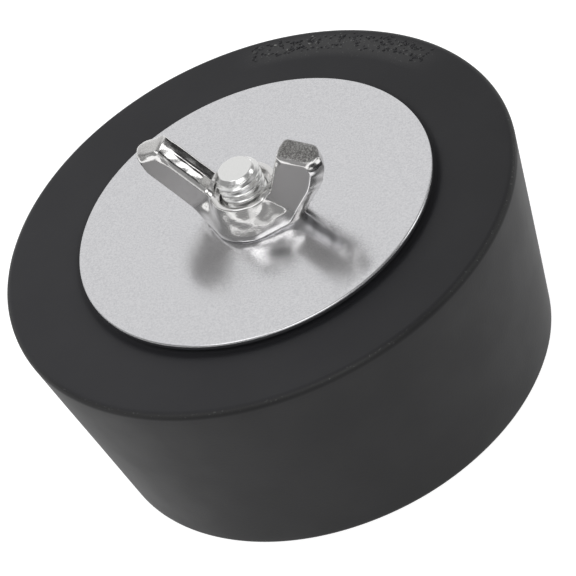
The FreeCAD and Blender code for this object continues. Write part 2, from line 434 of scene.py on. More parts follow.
@dataclass(frozen=True)
class Finish:
    """A finish: its name, the plain values of its shader, and the size of its patterns in millimetres."""

    name: str
    colour: str
    roughness: float
    metallic: float = 0.0

    def start(self) -> tuple[bpy.types.Material, bpy.types.NodeTree, bpy.types.Node, bpy.types.NodeSocket]:
        """Make the material and its shader, with the values that are the same all over.

        Returns:
            The material, its node tree, its shader, and its object coordinates in millimetres.
        """
        material = bpy.data.materials.new(self.name)
        material.use_nodes = True
        tree = material.node_tree
        shader = tree.nodes["Principled BSDF"]
        shader.inputs["Base Color"].default_value = linear(self.colour)
        shader.inputs["Roughness"].default_value = self.roughness
        shader.inputs["Metallic"].default_value = self.metallic
        place = add_node(tree, "ShaderNodeTexCoord").outputs["Object"]
        grow = add_node(tree, "ShaderNodeVectorMath", {"operation": "SCALE", 0: place}, Scale=1 / MM)
        return material, tree, shader, grow.outputs["Vector"]

    def material(self) -> bpy.types.Material:
        """The finished material."""
        raise NotImplementedError


@dataclass(frozen=True)
class MouldedRubber(Finish):
    """EPDM rubber, compression moulded.

    Carbon black makes it near black and matte. The pressed top has a pale bloom, and a painted shade thins
    the bloom towards the main camera's right, so that the top darkens that way. The gloss is cloudy, and
    edges that rub are flecked with scuffs; on a few pips the pale scuff colour also paints highlights. The
    skin's grain is drawn as coarse as it needs to show.
    """

    gloss: float = 0.27
    # The bloom colour, mixed in less towards the main camera's right, also paints a shade across the top.
    bloom_and_shade_colour: str = "#2d2d30"
    # The scuff colour also paints highlights on a few pips.
    scuff_and_highlight_colour: str = "#9a9a98"
    cloud_size: float = 14.0
    grain_size: float = 0.5
    grain_depth: float = 0.02
    fleck_size: float = 0.45
    gloss_spread: float = 0.025

    def material(self) -> bpy.types.Material:
        """Mix bloom, with its painted shade, and scuffs, with the pips' painted highlights, over the black by
        the piece's attributes, then cloud the gloss.

        Returns:
            The finished material.
        """
        material, tree, shader, place = self.start()
        shader.inputs["Specular IOR Level"].default_value = self.gloss
        cloud = add_node(tree, "ShaderNodeTexNoise", Vector=place, Scale=1 / self.cloud_size, Detail=3.0,
                         Roughness=0.55)
        grain = add_node(tree, "ShaderNodeTexNoise", Vector=place, Scale=1 / self.grain_size, Detail=2.0,
                         Roughness=0.55)
        patches = add_node(tree, "ShaderNodeTexNoise", Vector=place, Scale=1 / self.fleck_size, Detail=2.0,
                           Roughness=0.55)
        fleck = add_node(tree, "ShaderNodeMapRange", SMOOTH, Value=patches.outputs["Fac"], From_Min=0.62,
                         From_Max=0.72, To_Min=0.2, To_Max=1.0)
        # The wear attribute holds scuffs, and on a few pips painted highlights.
        worn = add_node(tree, "ShaderNodeAttribute", {"attribute_name": "wear_and_highlight"}).outputs["Fac"]
        scuff_and_highlight = add_node(tree, "ShaderNodeMath",
                         {"operation": "MULTIPLY", 0: worn, 1: fleck.outputs["Result"]})
        # The bloom attribute carries the bloom and a painted shade across the top.
        bloom_and_shade = add_node(tree, "ShaderNodeAttribute", {"attribute_name": "bloom_and_shade"}).outputs["Fac"]
        base = add_node(tree, "ShaderNodeMix",
                        {"data_type": "RGBA", 6: linear(self.colour), 7: linear(self.bloom_and_shade_colour)},
                        Factor=bloom_and_shade)
        tone = add_node(tree, "ShaderNodeMix",
                        {"data_type": "RGBA", 6: base.outputs[2], 7: linear(self.scuff_and_highlight_colour)},
                        Factor=scuff_and_highlight.outputs["Value"])
        shade = add_node(tree, "ShaderNodeMapRange", SMOOTH, Value=cloud.outputs["Fac"], From_Min=0.3,
                         From_Max=0.7, To_Min=self.roughness - self.gloss_spread,
                         To_Max=self.roughness + self.gloss_spread)
        skin = add_node(tree, "ShaderNodeBump", Height=grain.outputs["Fac"], Distance=self.grain_depth * MM,
                        Strength=1.0)
        tree.links.new(tone.outputs[2], shader.inputs["Base Color"])
        tree.links.new(shade.outputs["Result"], shader.inputs["Roughness"])
        tree.links.new(skin.outputs["Normal"], shader.inputs["Normal"])
        return material


@dataclass(frozen=True)
class SatinSheet(Finish):
    """Stainless sheet with the mill's dull 2B finish.

    Pickling leaves a fine random grain, so the sheet is pale and mottled and its reflections are soft. The
    grain is drawn as coarse as it needs to show.
    """

    grain_colour: str = "#c8c8cb"
    grain_size: float = 0.35
    grain_depth: float = 0.004
    cloud_size: float = 9.0

    def material(self) -> bpy.types.Material:
        """Mottle the sheet's colour and relief with one grain, and cloud its gloss with another.

        Returns:
            The finished material.
        """
        material, tree, shader, place = self.start()
        grain = add_node(tree, "ShaderNodeTexNoise", Vector=place, Scale=1 / self.grain_size, Detail=3.0,
                         Roughness=0.7)
        cloud = add_node(tree, "ShaderNodeTexNoise", Vector=place, Scale=1 / self.cloud_size, Detail=3.0,
                         Roughness=0.55)
        mottle = add_node(tree, "ShaderNodeMapRange", SMOOTH, Value=grain.outputs["Fac"], From_Min=0.35,
                          From_Max=0.7, To_Min=0.0, To_Max=1.0)
        tone = add_node(tree, "ShaderNodeMix",
                        {"data_type": "RGBA", 6: linear(self.colour), 7: linear(self.grain_colour)},
                        Factor=mottle.outputs["Result"])
        shade = add_node(tree, "ShaderNodeMapRange", SMOOTH, Value=cloud.outputs["Fac"], From_Min=0.25,
                         From_Max=0.75, To_Min=self.roughness - 0.03, To_Max=self.roughness + 0.04)
        relief = add_node(tree, "ShaderNodeBump", Height=grain.outputs["Fac"], Distance=self.grain_depth * MM,
                          Strength=1.0)
        tree.links.new(tone.outputs[2], shader.inputs["Base Color"])
        tree.links.new(shade.outputs["Result"], shader.inputs["Roughness"])
        tree.links.new(relief.outputs["Normal"], shader.inputs["Normal"])
        return material


@dataclass(frozen=True)
class BrightForging(Finish):
    """Nickel plate over a cold forging.

    The plating is bright and lumpy where the dies left it, flatter and duller on the trimmed faces, and
    coarse and grey where the ends were cropped.
    """

    face_colour: str = "#d8d6d5"
    torn_colours: tuple[str, str] = ("#626160", "#a9a8a6")
    grain_size: float = 0.3
    grain_depth: float = 0.006
    lump_size: float = 1.3
    lump_depth: float = 0.022
    torn_depth: float = 0.13
    face_dulling: float = 0.2
    torn_dulling: float = 0.25

    def material(self) -> bpy.types.Material:
        """Choose colour, gloss and relief by how trimmed and how cropped the surface is.

        Returns:
            The finished material.
        """
        material, tree, shader, place = self.start()
        trimmed = add_node(tree, "ShaderNodeAttribute", {"attribute_name": "trimmed"}).outputs["Fac"]
        cropped = add_node(tree, "ShaderNodeAttribute", {"attribute_name": "cropped"}).outputs["Fac"]
        grain = add_node(tree, "ShaderNodeTexNoise", Vector=place, Scale=1 / self.grain_size, Detail=3.0,
                         Roughness=0.7).outputs["Fac"]
        lumps = add_node(tree, "ShaderNodeTexNoise", Vector=place, Scale=1 / self.lump_size, Detail=2.0,
                         Roughness=0.55).outputs["Fac"]
        face = add_node(tree, "ShaderNodeMix",
                        {"data_type": "RGBA", 6: linear(self.colour), 7: linear(self.face_colour)},
                        Factor=trimmed)
        dark, light = self.torn_colours
        mottle = add_node(tree, "ShaderNodeMapRange", SMOOTH, Value=grain, From_Min=0.4, From_Max=0.65,
                          To_Min=0.0, To_Max=1.0)
        torn = add_node(tree, "ShaderNodeMix", {"data_type": "RGBA", 6: linear(dark), 7: linear(light)},
                        Factor=mottle.outputs["Result"])
        tone = add_node(tree, "ShaderNodeMix", {"data_type": "RGBA", 6: face.outputs[2], 7: torn.outputs[2]},
                        Factor=cropped)
        dull = add_node(tree, "ShaderNodeMapRange", SMOOTH, Value=trimmed, From_Min=0.0, From_Max=1.0,
                        To_Min=self.roughness, To_Max=self.roughness + self.face_dulling)
        torn_share = {"operation": "MULTIPLY_ADD", 0: cropped, 1: self.torn_dulling}
        shade = add_node(tree, "ShaderNodeMath", {**torn_share, 2: dull.outputs["Result"]})
        tearing = add_node(tree, "ShaderNodeMath", {"operation": "MULTIPLY", 0: cropped, 1: grain})
        normal = None
        for height, depth in ((lumps, self.lump_depth), (grain, self.grain_depth),
                              (tearing.outputs["Value"], self.torn_depth)):
            under = {} if normal is None else {"Normal": normal}
            relief = add_node(tree, "ShaderNodeBump", Height=height, Distance=depth * MM, Strength=1.0,
                              **under)
            normal = relief.outputs["Normal"]
        tree.links.new(tone.outputs[2], shader.inputs["Base Color"])
        tree.links.new(shade.outputs["Value"], shader.inputs["Roughness"])
        tree.links.new(normal, shader.inputs["Normal"])
        return material


@dataclass(frozen=True)
class BrightBolt(Finish):
    """Stainless bolt with a rolled thread and a cropped end: bright steel, dulled by handling marks."""

    mark_size: float = 0.6
    mark_depth: float = 0.008

    def material(self) -> bpy.types.Material:
        """Vary gloss and relief together, mark by mark.

        Returns:
            The finished material.
        """
        material, tree, shader, place = self.start()
        marks = add_node(tree, "ShaderNodeTexNoise", Vector=place, Scale=1 / self.mark_size, Detail=4.0,
                         Roughness=0.55).outputs["Fac"]
        shade = add_node(tree, "ShaderNodeMapRange", SMOOTH, Value=marks, From_Min=0.3, From_Max=0.7,
                         To_Min=self.roughness - 0.05, To_Max=self.roughness + 0.08)
        relief = add_node(tree, "ShaderNodeBump", Height=marks, Distance=self.mark_depth * MM, Strength=1.0)
        tree.links.new(shade.outputs["Result"], shader.inputs["Roughness"])
        tree.links.new(relief.outputs["Normal"], shader.inputs["Normal"])
        return material


class Stock(Enum):
    """The finishes that the plug is made in."""

    RUBBER = MouldedRubber("moulded_rubber", "#121214", 0.55)
    SHEET = SatinSheet("satin_stainless_sheet", "#dadadc", 0.19, 1.0)
    FORGING = BrightForging("nickel_plated_forging", "#dddcdb", 0.13, 1.0)
    BOLT = BrightBolt("bright_stainless_bolt", "#e6e6e5", 0.18, 1.0)


def dress(piece: bpy.types.Object, material: bpy.types.Material, body: str, node: str | None) -> None:
    """Give a piece its material, hang it on the body that it rides on, and hide the part that it stands for.

    Args:
        piece: the piece.
        material: its material.
        body: the body that it rides on.
        node: the part that it stands for, or None where it only adds detail.
    """
    piece.data.materials.append(material)
    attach(piece, body)
    if node is not None:
        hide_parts(node)
    LOG.info("%s: %d faces on %s", piece.name, len(piece.data.polygons), body)


# ---------------------------------------------------------------- the plug's pieces


@dataclass
class RubberStopper:
    """The tapered rubber stopper, with its bore and the recess under it.

    One field gives the direction in which the top's bloom thins, the main camera's right; that thinning is a
    painted shade, so the top darkens that way.
    """

    height: float
    top_radius: float = 54.7
    base_radius: float = 47.0
    rim_rounding: float = 1.4
    foot_rounding: float = 1.5
    mouth_rounding: float = 1.0
    bore_radius: float = 5.15
    bore_rounding: float = 0.3
    recess_radius: float = 33.0
    recess_depth: float = 10.3
    recess_rounding: float = 0.8
    pocket_radius: float = 7.1
    pocket_depth: float = 4.0
    pocket_rounding: float = 0.4
    plate_radius: float = 37.7
    groove_depth: float = 0.35
    groove_width: float = 1.0
    groove_reach: float = 2.4
    wave_length: float = 30.0
    wave_depth: float = 0.1
    wave_seed: int = 3
    flash_height: float = 0.07
    flash_width: float = 0.3
    flash_wander: float = 0.3
    rim_band: float = 0.5
    wear: float = 0.4
    wear_drop: float = 0.2
    mark_azimuth: float = 90.0
    mark_spread: float = 24.0
    mark_radius: float = 49.8
    mark_width: float = 2.8
    # A pale bloom on the top, with a painted shade that thins it towards the main camera's right.
    bloom_and_shade: float = 0.75
    painted_shade_fall: float = 0.35
    painted_shade_toward: tuple[float, float] = (0.77, 0.64)
    pips: int = 230
    pip_seed: int = 5
    pip_arc: tuple[float, float] = (66.0, 114.0)
    pip_rows: tuple[float, float] = (51.4, 49.2)
    pip_scatter: float = 0.55
    pip_size: tuple[float, float] = (0.13, 0.36)
    pip_stretch: tuple[float, float] = (1.0, 1.8)
    pip_height: tuple[float, float] = (0.08, 0.24)
    pip_rise: tuple[float, float] = (-0.4, 1.15)
    pip_outer_share: float = 0.6
    # A few pips are painted pale: scuffed, and given a painted highlight.
    pip_scuff_and_highlight: float = 1.6
    pip_bloom: float = 0.7
    columns: int = 432

    def outline(self) -> np.ndarray:
        """Draw the section right of the axis, with points close together under the plate's edge.

        Returns:
            Radius and height of each point (n, 2), anticlockwise.
        """
        ledge = self.recess_depth + self.pocket_depth
        groove_step = 0.4
        groove = np.arange(self.plate_radius + self.groove_reach, self.plate_radius - self.groove_reach,
                           -groove_step)
        corners = [
            (self.recess_radius, 0.0, self.mouth_rounding),
            (self.base_radius, 0.0, self.foot_rounding),
            (self.top_radius, self.height, self.rim_rounding),
            *[(radius, self.height, 0.0) for radius in groove],
            (self.bore_radius, self.height, self.bore_rounding),
            (self.bore_radius, ledge, 0.0),
            (self.pocket_radius, ledge, self.pocket_rounding),
            (self.pocket_radius, self.recess_depth, self.bore_rounding),
            (self.recess_radius, self.recess_depth, self.recess_rounding),
        ]
        return rounded_outline(corners, step=2.0, arc_step=6.0)

    def build(self, material: bpy.types.Material, squash: dict) -> bpy.types.Object:
        """Turn the section about Z, with the small waves that a moulding has.

        The rubber falls away under the plate's edge as a bell curve of the distance from it. The line where
        the mould parted stands out along the middle of the rim's rounding, as a bell curve across it. The
        middle of an arc lies 0.586 roundings from its corner, the two ways added: 2 less the root of 2.

        Args:
            material: the rubber.

        Returns:
            The piece.
        """
        radius, height, azimuth = ring_points(self.outline(), self.columns)
        x, y = radius * np.cos(azimuth), radius * np.sin(azimuth)
        wave = ripple(x, y, height, self.wave_length, self.wave_seed)
        outside = smooth_step(self.base_radius - 2.0, self.base_radius, radius)
        on_top = smooth_step(self.height - 0.5, self.height, height)
        sink = self.groove_depth * np.exp(-(((radius - self.plate_radius) / self.groove_width) ** 2))
        from_rim = (self.top_radius - radius) + (self.height - height) - 0.586 * self.rim_rounding
        along_rim = (self.top_radius - radius) - (self.height - height)
        near_rim = np.exp(-((from_rim / self.rim_band) ** 2)) * outside
        ridge = np.exp(-(((along_rim + self.flash_wander * wave) / self.flash_width) ** 2))
        flash = self.flash_height * near_rim * ridge * (0.7 + wave)
        worn = near_rim * np.exp(-(((along_rim - self.wear_drop) / self.rim_band) ** 2))
        in_arc = np.exp(-(((np.degrees(azimuth) - self.mark_azimuth) / self.mark_spread) ** 8))
        marked = in_arc * np.exp(-(((radius - self.mark_radius) / self.mark_width) ** 6))
        along, across = self.painted_shade_toward
        # Painted shade: the bloom thins towards the main camera's right, so the top darkens that way.
        bloom_and_shade = on_top * (self.bloom_and_shade - self.painted_shade_fall * (along * x + across * y) / self.top_radius)
        wear = np.maximum(self.wear * worn * (1.0 + wave), self.wear * marked * on_top)
        radius = radius - self.wave_depth * outside * (0.5 + wave) + flash
        height = height - sink * on_top + flash
        piece = make_piece("rubber_stopper", to_space(radius, height, azimuth),
                           ring_quads(*radius.shape, closed=True), crease=50.0)
        write_attribute(piece, "wear_and_highlight", wear.reshape(-1))
        write_attribute(piece, "bloom_and_shade", bloom_and_shade.reshape(-1))
        dress(piece, material, "stopper", "rubber_body")
        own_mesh(piece)
        return piece

    def build_pips(self, material: bpy.types.Material) -> bpy.types.Object:
        """Mould low pips along an arc of the top, where a maker has its raised marks.

        Each is a flattened dome: its half-sizes times the cosine and sine of the angle round it and of the
        angle up it, turned by an angle of its own. They crowd along two rows, and a few are scuffed pale,
        which also paints highlights on them.

        Args:
            material: the rubber.

        Returns:
            The piece.
        """
        draw = np.random.default_rng(self.pip_seed)
        count, around, up = self.pips, 9, 4
        spins = np.linspace(0, TURN, around, endpoint=False)
        spin, rise = np.meshgrid(spins, np.linspace(*self.pip_rise, up))
        each = (count, 1, 1)
        size = draw.uniform(*self.pip_size, each)
        long = size * draw.uniform(*self.pip_stretch, each)
        tall = draw.uniform(*self.pip_height, each)
        turn = draw.uniform(0, TURN, each)
        place = np.radians(draw.uniform(*self.pip_arc, each))
        row = np.where(draw.random(each) < self.pip_outer_share, *self.pip_rows)
        out = row + draw.normal(0.0, self.pip_scatter, each)
        along, across = long * np.cos(spin) * np.cos(rise), size * np.sin(spin) * np.cos(rise)
        x = out * np.cos(place) + along * np.cos(turn) - across * np.sin(turn)
        y = out * np.sin(place) + along * np.sin(turn) + across * np.cos(turn)
        z = self.height + tall * np.sin(rise)
        domes = np.stack([x, y, z], axis=-1).reshape(count, -1, 3)
        poles = np.concatenate([out * np.cos(place), out * np.sin(place), self.height + tall], axis=2)
        points = np.concatenate([domes, poles], axis=1)
        ring = np.arange(around)
        fan = cap_triangles((up - 1) * around + ring, up * around)
        first = np.arange(count)[:, None, None] * points.shape[1]
        faces: list[list[int]] = []
        for part in (ring_quads(up, around, closed=False), fan, ring[None, ::-1]):
            faces += (part[None] + first).reshape(-1, part.shape[1]).tolist()
        piece = make_piece("rim_pips", points.reshape(-1, 3), faces, crease=80.0)
        # Painted highlight: a few pips turn pale, besides being scuffed.
        pale = (self.pip_scuff_and_highlight * draw.random((count, 1)) ** 5 + np.zeros((1, points.shape[1]))).reshape(-1)
        write_attribute(piece, "wear_and_highlight", pale)
        write_attribute(piece, "bloom_and_shade", np.full(len(pale), self.pip_bloom))
        dress(piece, material, "stopper", None)
        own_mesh(piece)
        return piece


@dataclass
class Plate:
    """A blanked steel disc with a round or a square hole."""

    name: str
    low: float
    high: float
    radius: float
    hole: float
    square: bool = False
    dish: float = 0.0
    dish_end: float = 0.8
    hub_radius: float = 8.95
    rounding: float = 0.5
    hole_roundings: tuple[float, float] = (0.1, 0.2)
    columns: int = 360

    def build(self, material: bpy.types.Material, body: str) -> bpy.types.Object:
        """Turn the disc's section about Z. Near a square hole, each ring is drawn towards the square.

        A dished sheet climbs as a smooth step from the hub's foot to dish_end of the way out, so that its
        rim stands a little off the rubber.

        Args:
            material: the sheet.
            body: the body that it rides on.

        Returns:
            The piece.
        """
        below, above = self.hole_roundings
        corners = [
            (self.hole, self.low, below),
            (self.radius, self.low, self.rounding),
            (self.radius, self.high, self.rounding),
            (self.hole, self.high, above),
        ]
        outline = rounded_outline(corners, step=1.5, arc_step=15.0)
        radius, height, azimuth = ring_points(outline, self.columns)
        if self.square:
            reach = self.hole / np.maximum(np.abs(np.cos(azimuth)), np.abs(np.sin(azimuth)))
            pull = 1.0 - smooth_step(self.hole, self.hole * 2.0, radius)
            radius = radius * (1.0 + pull * (reach / self.hole - 1.0))
        height = height + self.dish * smooth_step(self.hub_radius, self.dish_end * self.radius, radius)
        points = to_space(radius, height, azimuth)
        piece = make_piece(self.name, points, ring_quads(*radius.shape, closed=True))
        dress(piece, material, body, self.name.replace("_disc", ""))
        return piece


@dataclass
class CarriageBolt:
    """The bolt: domed head, square neck, rolled thread and chamfered end."""

    seat: float
    length: float = 50.8
    radius: float = 4.72
    pitch: float = 1.5875
    depth: float = 0.95
    threaded: float = 25.4
    chamfer: float = 1.2
    head_radius: float = 10.3
    head_height: float = 5.0
    head_edge: float = 0.8
    neck_width: float = 9.6
    neck_height: float = 5.2
    neck_squareness: int = 14
    neck_ease: float = 0.25
    root: float = 0.16
    flank: float = 0.74
    straight: float = 0.6
    tip_rounding: float = 0.12
    columns: int = 96
    rows_per_pitch: int = 20

    def head(self) -> np.ndarray:
        """Draw the head's section from its pole to its seat: the dome's arc passes through pole and edge.

        Returns:
            Radius and height of each point (n, 2), the height from the seat up.
        """
        rise = self.head_height - self.head_edge
        ball = (self.head_radius**2 + rise**2) / (2 * rise)
        angles = np.linspace(0.0, math.asin(self.head_radius / ball), 26)[1:]
        dome = np.stack([ball * np.sin(angles), ball * (1 - np.cos(angles)) - self.head_height], axis=1)
        bend = np.array([[0.0, 0.12], [0.0, 0.5], [-0.12, 0.72], [-0.4, 0.8], [-2.0, 0.8]])
        return np.concatenate([dome, bend + [self.head_radius, -self.head_edge]])

    def thread_share(self, turns: np.ndarray) -> np.ndarray:
        """How high the thread stands: a blend of a straight flank and a smooth step up it.

        Args:
            turns: how many turns of the thread lie below each point.

        Returns:
            From 0 in a root to 1 on a crest.
        """
        from_root = np.abs((turns % 1.0) - 0.5) * 2.0
        flank = np.clip((from_root - self.root) / self.flank, 0.0, 1.0)
        return self.straight * flank + (1.0 - self.straight) * flank * flank * (3.0 - 2.0 * flank)

    def build(self, material: bpy.types.Material, body: str) -> bpy.types.Object:
        """Make one grid of rings from the head's pole to the tip, whose radius depends on the azimuth.

        The neck's radius is that of a rounded square: the sum of the nth powers of cosine and sine, to the
        power -1/n, n being neck_squareness. The thread is cut into the shank by a depth that turns with the
        azimuth, and four rings round the tip over.

        Args:
            material: the bolt's steel.
            body: the body that it rides on.

        Returns:
            The piece.
        """
        head = self.head()
        neck = np.array([0.0, 0.15, 0.4, self.neck_height - 0.5, self.neck_height - 0.15, self.neck_height])
        start = self.length - self.threaded
        shank = np.linspace(self.neck_height, start, 12)
        rows = int(self.threaded / self.pitch * self.rows_per_pitch)
        thread = np.linspace(start, self.length, rows + 1)[1:]
        heights = np.concatenate([head[:, 1], neck, shank, thread])[:, None] + np.zeros((1, self.columns))
        azimuth = np.linspace(0.0, TURN, self.columns, endpoint=False)[None, :] + np.zeros_like(heights)
        radius = np.full_like(heights, self.radius)
        radius[: len(head)] = head[:, :1]
        power = self.neck_squareness
        corner = (np.abs(np.cos(azimuth)) ** power + np.abs(np.sin(azimuth)) ** power) ** (-1 / power)
        square = self.neck_width / 2 * corner
        rows_of_neck = slice(len(head), len(head) + len(neck))
        at_neck_end = np.abs(neck - self.neck_height) < 0.01
        radius[rows_of_neck] = square[rows_of_neck] - self.neck_ease * at_neck_end[:, None]
        turns = heights / self.pitch - azimuth / TURN
        cut = smooth_step(start, start + self.pitch, heights) * (1.0 - self.thread_share(turns))
        on_thread = slice(len(head) + len(neck), None)
        radius[on_thread] -= (self.depth * cut)[on_thread]
        end = self.radius - self.chamfer + (self.length - heights)
        tip = smooth_min(radius, end, self.tip_rounding)
        radius = np.where(heights > self.length - 2 * self.chamfer, tip, radius)
        tip_shares, tip_rises = np.array([0.97, 0.9, 0.6, 0.3]), np.array([0.03, 0.05, 0.06, 0.06])
        radius = np.concatenate([radius, radius[-1:] * tip_shares[:, None]])
        heights = np.concatenate([heights, heights[-1:] + tip_rises[:, None]])
        azimuth = np.concatenate([azimuth, azimuth[: len(tip_shares)]])
        points = to_space(radius, heights + self.seat, azimuth)
        count = len(points)
        poles = np.array([[0.0, 0.0, self.seat - self.head_height], [0.0, 0.0, points[-1, 2]]])
        ring = np.arange(self.columns)
        bottom = cap_triangles(ring, count)[:, [1, 0, 2]]
        top = cap_triangles(count - self.columns + ring, count + 1)
        faces = list(ring_quads(*radius.shape, closed=False)) + list(bottom) + list(top)
        piece = make_piece("bolt", np.concatenate([points, poles]), faces, crease=40.0)
        dress(piece, material, body, "carriage_bolt")
        return piece


@dataclass
class WingNut:
    """The forged wing nut, worked out as one signed distance and meshed from it.

    Each wing's spine is the line from its foot up its middle, and the names that start with outer hold
    outside it. An end is the inner top corner of a face, and how steeply the end falls outwards from there.
    """

    base: float
    hub_base_radius: float = 8.95
    hub_foot: float = 1.4
    hub_top_radius: float = 6.9
    hub_height: float = 7.3
    bore_radius: float = 4.78
    countersink: float = 1.3
    gauge: float = 6.0
    spread: float = 20.8
    height: float = 19.2
    outer_crown: float = 1.7
    inner_crown: float = 0.85
    spine_foot: tuple[float, float] = (9.0, 5.0)
    spine_run: tuple[float, float] = (8.0, 12.5)
    spine_length: float = 14.84
    spine_reach: float = 2.5
    roof_fall: float = 0.07
    outer_roof_fall: float = 0.27
    bevel_rounding: float = 0.3
    face_rounding: float = 0.12
    flash_height: float = 0.1
    flash_width: float = 0.28
    wing_lump_length: float = 2.4
    wing_lump_depth: float = 0.05
    outer_lump_depth: float = 0.15
    wing_lump_seed: int = 11
    hub_lump_length: float = 3.8
    hub_lump_depth: float = 0.1
    hub_lump_seed: int = 12
    tip_rounding: float = 1.1
    tip_heights: tuple[float, float] = (15.0, 17.5)
    mouth_fillet: float = 1.2
    foot_fillet: float = 4.6
    fillet_heights: tuple[float, float] = (7.0, 3.0)
    right_end: tuple[float, float, float] = (13.4, 18.1, 0.29)
    left_end: tuple[float, float, float] = (14.8, 18.5, 0.43)
    left_tearing: float = 0.35
    pitch: float = 0.2

    def face_outlines(self) -> tuple[np.ndarray, np.ndarray]:
        """Draw the outlines of the trimmed flat faces, which differ by up to about 1.5 mm.

        Returns:
            The outline of the wing on +X, then that of the wing on -X, each (n, 2) from the wing's foot.
        """
        right = [
            (4.0, 0.7, 0.0),
            (9.6, 0.7, 1.0),
            (13.1, 4.9, 7.0),
            (17.2, 9.7, 7.0),
            (19.3, 13.9, 3.0),
            (18.9, 16.5, 0.9),
            (13.4, 18.1, 0.6),
            (8.2, 8.6, 2.0),
            (4.0, 6.2, 0.0),
        ]
        left = [
            (4.0, 0.7, 0.0),
            (9.6, 0.7, 1.0),
            (14.2, 7.6, 9.0),
            (18.5, 13.6, 4.0),
            (19.0, 16.7, 0.5),
            (14.8, 18.5, 0.5),
            (7.3, 8.0, 1.0),
            (4.0, 6.2, 0.0),
        ]
        return rounded_outline(right, 30.0, 15.0), rounded_outline(left, 30.0, 15.0)

    def hub_outline(self) -> np.ndarray:
        """Draw the hub's section across the axis, so that its inside has no seam.

        Returns:
            Points (n, 2) along the outline.
        """
        corners = [
            (-self.hub_base_radius, 0.0, 0.6),
            (self.hub_base_radius, 0.0, 0.6),
            (self.hub_base_radius, self.hub_foot, 1.5),
            (self.hub_top_radius, self.hub_height, 0.35),
            (-self.hub_top_radius, self.hub_height, 0.35),
            (-self.hub_base_radius, self.hub_foot, 1.5),
        ]
        return rounded_outline(corners, step=30.0, arc_step=12.0)

    def edge_distance(self, x: np.ndarray, z: np.ndarray) -> np.ndarray:
        """Distance to the outline of the trimmed face on the same side.

        Args:
            x: first coordinate, in millimetres.
            z: height above the nut's foot.

        Returns:
            The distance, negative inside the outline.
        """
        right, left = self.face_outlines()
        return np.where(x > 0.0, outline_distance(x, z, right), outline_distance(-x, z, left))

    def wing_distance(self, x: np.ndarray, y: np.ndarray, z: np.ndarray) -> np.ndarray:
        """Distance to the two wings.

        Each face's outline grows towards mid-gauge: first along a 45 degree bevel, then as a roof whose
        rise falls with the 1.5th power of the distance from the parting line. The roof is higher on the
        outer edge, outside the wing's spine, and a trace of flash stands on it as a bell curve.

        Args:
            x: first coordinate, in millimetres.
            y: second coordinate.
            z: height above the nut's foot.

        Returns:
            The distance, negative inside.
        """
        side = np.abs(y)
        half = self.gauge / 2
        (foot, lift), (run, climb) = self.spine_foot, self.spine_run
        from_spine = ((np.abs(x) - foot) * climb - (z - lift) * run) / self.spine_length
        outwards = smooth_step(-self.spine_reach, self.spine_reach, from_spine)
        crown = self.inner_crown + (self.outer_crown - self.inner_crown) * outwards
        at_tip = smooth_step(*self.tip_heights, z)
        flash = self.flash_height * np.exp(-((y / self.flash_width) ** 2)) * (1.0 - at_tip)
        roof_fall = self.roof_fall + (self.outer_roof_fall - self.roof_fall) * outwards
        grow = smooth_min(crown - roof_fall * side**1.5 + flash, half - side, self.bevel_rounding)
        waves = ripple(x, y, z, self.wing_lump_length, self.wing_lump_seed)
        depth = self.wing_lump_depth + (self.outer_lump_depth - self.wing_lump_depth) * outwards
        lumps = depth * waves * smooth_step(half, half - 0.8, side)
        rounding = self.face_rounding + self.tip_rounding * at_tip
        return smooth_max(self.edge_distance(x, z) - grow + lumps, side - half, rounding)

    def distance(self, x: np.ndarray, y: np.ndarray, z: np.ndarray) -> np.ndarray:
        """Signed distance to the nut: hub and wings run together, less the countersunk hole.

        The fillet between them fans out, from mouth_fillet at the hub's mouth to foot_fillet above its foot.

        Args:
            x: first coordinate, in millimetres.
            y: second coordinate.
            z: height above the nut's foot.

        Returns:
            The distance, negative inside.
        """
        rho = np.sqrt(x * x + y * y)
        waves = ripple(x, y, z, self.hub_lump_length, self.hub_lump_seed)
        hub = outline_distance(rho, z, self.hub_outline()) - self.hub_lump_depth * waves
        spread = smooth_step(*self.fillet_heights, z)
        fan = self.mouth_fillet + (self.foot_fillet - self.mouth_fillet) * spread
        solid = smooth_min(hub, self.wing_distance(x, y, z), fan)
        mouth = self.bore_radius + self.countersink
        cone = (mouth - rho + np.maximum(z - self.hub_height, -z)) * math.sqrt(0.5)
        hole = np.maximum(self.bore_radius - rho, np.minimum(cone, mouth - rho))
        return smooth_max(solid, hole, 0.2)

